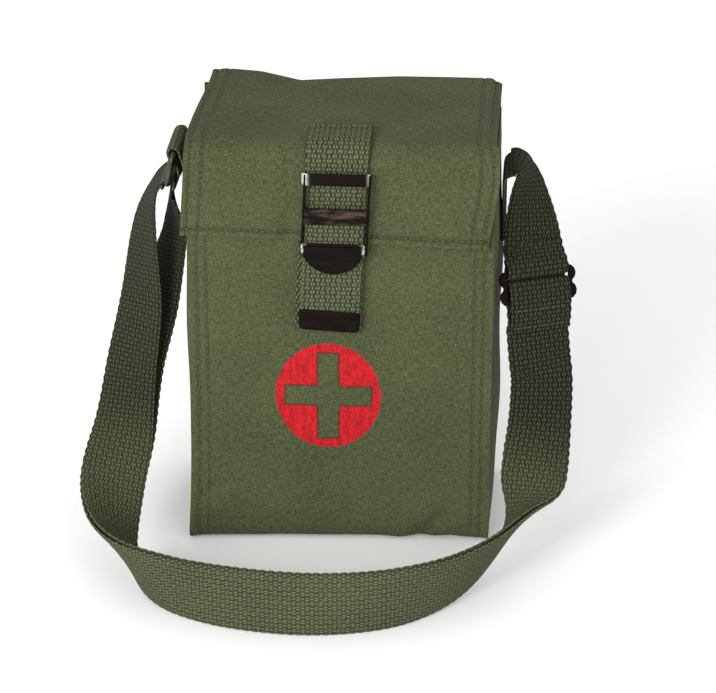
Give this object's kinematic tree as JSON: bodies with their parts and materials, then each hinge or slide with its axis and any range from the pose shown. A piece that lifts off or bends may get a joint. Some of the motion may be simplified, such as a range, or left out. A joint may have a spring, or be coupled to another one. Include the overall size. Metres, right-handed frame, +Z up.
{
  "type": "first aid kit",
  "caption": "Upright canvas pouch with a fold-over flap, a buckled webbing closure, a shoulder strap and packed dressings inside.",
  "frame": {"origin": "middle of the pouch's underside, on the surface it stands on", "axes": "+Z up, -Y out of the front with the closure, +X to the right seen from the front"},
  "size_m": [0.2306, 0.1713, 0.207],
  "materials": {
    "canvas": "heavy olive cotton canvas, plain weave, matt",
    "webbing": "olive cotton webbing, coarse weave, matt",
    "blackened_steel": "pressed steel, black finish, semi-gloss",
    "gauze": "open white cotton gauze, rolled",
    "paper_wrap": "uncoated kraft paper wrap",
    "carton": "plain white folding carton",
    "cloth_tape": "cream cloth tape and elastic bandage",
    "foil_laminate": "silvery foil laminate sachets",
    "waxed_wrap": "olive waxed cloth wrapper"
  },
  "bodies": {
    "pouch": {"canvas_body": "canvas", "left_gusset": "canvas", "right_gusset": "canvas", "fixed_web": "webbing", "ring_tab": "webbing", "strap_anchor": "webbing", "bandage_carton": "carton", "gauze_pad_sleeve": "paper_wrap", "triangular_bandage_pack": "waxed_wrap", "field_dressing": "waxed_wrap", "wipe_packets": "foil_laminate", "gauze_roll_left": "gauze", "gauze_roll_right": "gauze", "elastic_bandage_roll": "cloth_tape", "tape_roll": "cloth_tape", "tape_core": "paper_wrap"},
    "flap": {"flap_canvas": "canvas", "flap_web": "webbing"},
    "buckle": {"buckle_frame": "blackened_steel", "buckle_bar": "blackened_steel", "thumb_plate": "blackened_steel"},
    "free_web": {"closure_web_end": "webbing", "web_tip": "blackened_steel"},
    "ring": {"strap_ring": "blackened_steel", "ring_loop": "webbing"},
    "strap": {"shoulder_strap": "webbing", "strap_return_layer": "webbing"},
    "slide": {"slide_adjuster": "blackened_steel", "slide_fold": "webbing"}
  },
  "joints": [
    {"name": "flap_open", "type": "hinge", "parent": "pouch", "child": "flap", "pos_m": [0, 0.0393, 0.2033], "axis": [-1, 0, 0], "range_deg": [0, 160]},
    {"name": "buckle_release", "type": "hinge", "parent": "flap", "child": "buckle", "pos_m": [-0.0012, -0.0461, 0.1887], "axis": [-1, 0, 0], "range_deg": [0, 50]},
    {"name": "free_web_pull", "type": "slide", "parent": "flap", "child": "free_web", "axis": [-0.0488, 0, -0.9988], "range_m": [-0.015, 0.02]},
    {"name": "ring_swing", "type": "hinge", "parent": "pouch", "child": "ring", "pos_m": [-0.0795, 0, 0.187], "axis": [0, 1, 0], "range_deg": [-10, 3]},
    {"name": "strap_swing", "type": "hinge", "parent": "pouch", "child": "strap", "pos_m": [0, 0, 0.172], "axis": [-1, 0, 0], "range_deg": [0, 170]},
    {"name": "slide_travel", "type": "slide", "parent": "strap", "child": "slide", "axis": [-0.1045, 0.2944, 0.95], "range_m": [-0.01, 0.012]}
  ]
}
